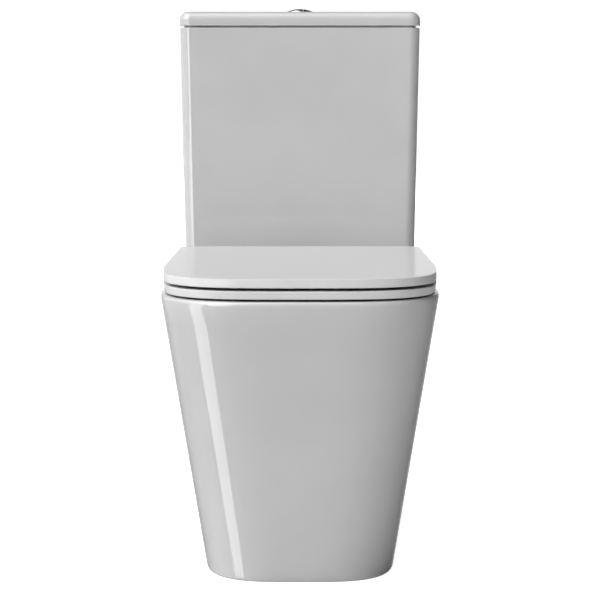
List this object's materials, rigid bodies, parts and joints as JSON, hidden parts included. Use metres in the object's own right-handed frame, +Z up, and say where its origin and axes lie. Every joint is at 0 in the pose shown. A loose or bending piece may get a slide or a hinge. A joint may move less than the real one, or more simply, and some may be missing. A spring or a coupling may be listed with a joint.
{
  "type": "close coupled toilet",
  "caption": "Close coupled toilet with a tapered skirted pan, box cistern, push-button flush and slim hinged seat and lid.",
  "frame": {"origin": "on the floor, midway between the wall plane and the front of the rim, on the mirror plane", "axes": "+Z up, +Y towards the wall, +X to the right of a person who faces the toilet"},
  "size_m": [0.3664, 0.64, 0.7909],
  "materials": {
    "ceramic": "gloss glaze",
    "seat_plastic": "gloss",
    "cap_plastic": "gloss",
    "chrome_trim": "polished",
    "steel": "bright zinc",
    "white_plastic": "satin",
    "blue_plastic": "satin",
    "rubber": "matt"
  },
  "bodies": {
    "base": {"pan": "ceramic", "bowl": "ceramic", "trapway": "ceramic", "flush_inlet": "ceramic", "floor_brackets": "white_plastic", "side_fixing_screws": "steel", "screw_cover_caps": "cap_plastic", "coupling_gasket": "rubber", "coupling_bolts": "steel", "bolt_rubber_washers": "rubber", "bolt_steel_washers": "steel", "coupling_wing_nuts": "white_plastic", "cistern_body": "ceramic", "flush_valve_base": "white_plastic", "flush_valve_seal": "rubber", "flush_valve_back_nut": "white_plastic", "flush_valve_tower": "blue_plastic", "flush_valve_head": "blue_plastic", "fill_valve_shank": "white_plastic", "fill_valve_washer": "rubber", "fill_valve_back_nut": "white_plastic", "fill_valve_head": "white_plastic", "hinge_brackets": "chrome_trim", "hinge_pins": "steel", "hinge_bolts": "steel", "hinge_washers": "rubber", "hinge_wing_nuts": "white_plastic"},
    "seat": {"seat_ring": "seat_plastic", "seat_bumpers": "rubber"},
    "lid": {"seat_lid": "seat_plastic", "lid_bumpers": "rubber"},
    "cistern_cover": {"cistern_lid": "ceramic", "button_bezel": "chrome_trim", "button_collar_nut": "white_plastic"},
    "full_button": {"full_flush_button": "chrome_trim", "full_flush_rod": "white_plastic"},
    "half_button": {"half_flush_button": "chrome_trim", "half_flush_rod": "white_plastic"},
    "canister": {"flush_canister": "white_plastic", "canister_seal": "rubber", "half_flush_float": "blue_plastic"},
    "float": {"fill_float": "blue_plastic", "float_rod": "steel"},
    "arm": {"fill_arm": "white_plastic"}
  },
  "joints": [
    {"name": "seat_hinge", "type": "hinge", "parent": "base", "child": "seat", "pos_m": [0, 0.106, 0.417], "axis": [1, 0, 0], "range_deg": [-96, 0]},
    {"name": "lid_hinge", "type": "hinge", "parent": "seat", "child": "lid", "pos_m": [0, 0.106, 0.417], "axis": [-1, 0, 0], "range_deg": [0, 96]},
    {"name": "cistern_lid_lift", "type": "slide", "parent": "base", "child": "cistern_cover", "axis": [0, 0, 1], "range_m": [0, 0.12]},
    {"name": "full_flush_press", "type": "slide", "parent": "cistern_cover", "child": "full_button", "axis": [0, 0, -1], "range_m": [0, 0.005], "stiffness_N_per_m": 400, "springref_m": -0.003},
    {"name": "half_flush_press", "type": "slide", "parent": "cistern_cover", "child": "half_button", "axis": [0, 0, -1], "range_m": [0, 0.005], "stiffness_N_per_m": 400, "springref_m": -0.003},
    {"name": "canister_lift", "type": "slide", "parent": "base", "child": "canister", "axis": [0, 0, 1], "range_m": [0, 0.018]},
    {"name": "float_rise", "type": "slide", "parent": "base", "child": "float", "axis": [0, 0, 1], "range_m": [0, 0.012]},
    {"name": "arm_lift", "type": "hinge", "parent": "base", "child": "arm", "pos_m": [-0.124, 0.252, 0.695], "axis": [0, -1, 0], "range_deg": [0, 18.19]}
  ],
  "couplings": [
    {"joint": "canister_lift", "follows": "full_flush_press", "ratio": 3.6},
    {"joint": "arm_lift", "follows": "float_rise", "rad_per_m": 26.426}
  ]
}
